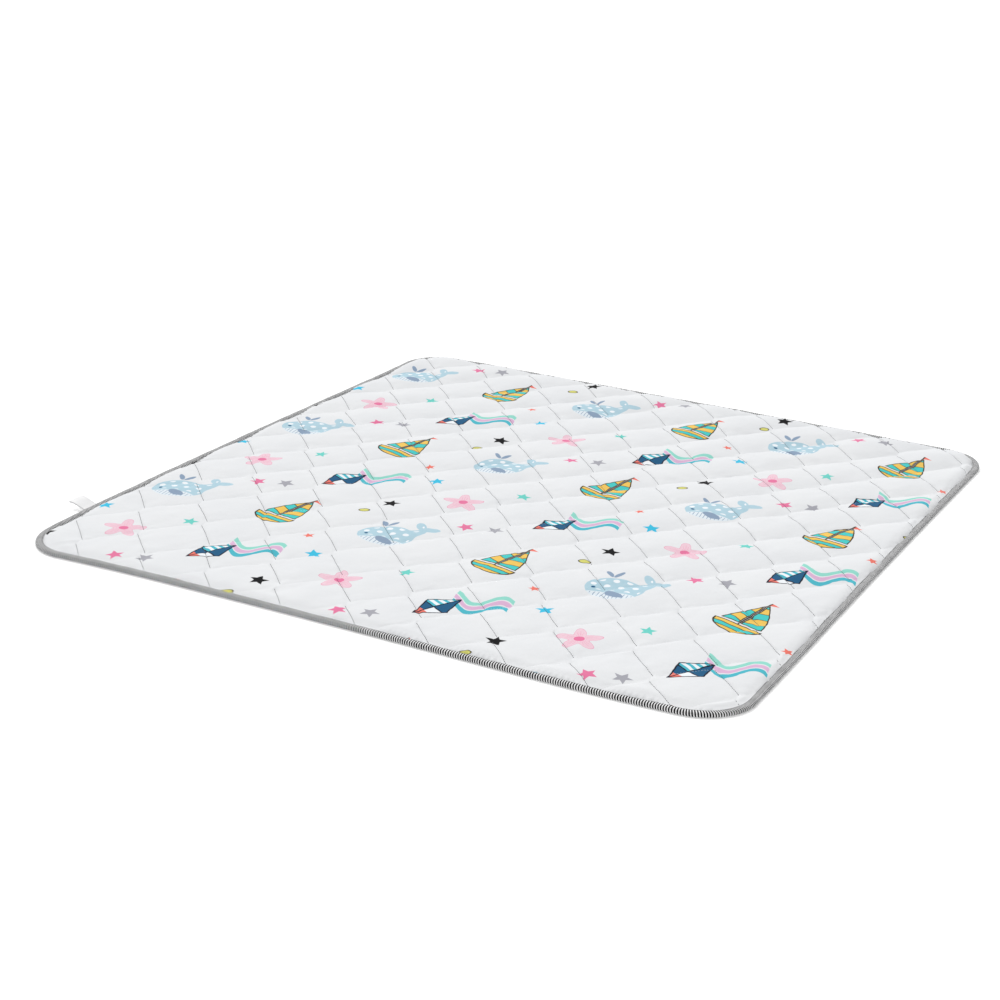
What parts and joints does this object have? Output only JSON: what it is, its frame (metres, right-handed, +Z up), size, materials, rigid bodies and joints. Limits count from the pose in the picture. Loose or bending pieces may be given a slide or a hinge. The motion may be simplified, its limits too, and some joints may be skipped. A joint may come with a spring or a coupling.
{
  "type": "baby play mat",
  "caption": "Padded square play mat for a baby, quilted in diamonds, its rounded edge bound with striped tape and with a small blank tab on one side.",
  "frame": {"origin": "middle of the flat underside, on the floor", "axes": "+Y along the long side, away from the front edge; +X along the front edge, away from the side with the tab; +Z up out of the quilted face"},
  "size_m": [1.0169, 1.0559, 0.0125],
  "materials": {
    "printed_cotton": "matte",
    "striped_tape": "matte",
    "label_tape": "soft sheen"
  },
  "bodies": {
    "root": {"quilted_mat": "printed_cotton", "edge_binding": "striped_tape", "side_label": "label_tape"}
  },
  "joints": []
}
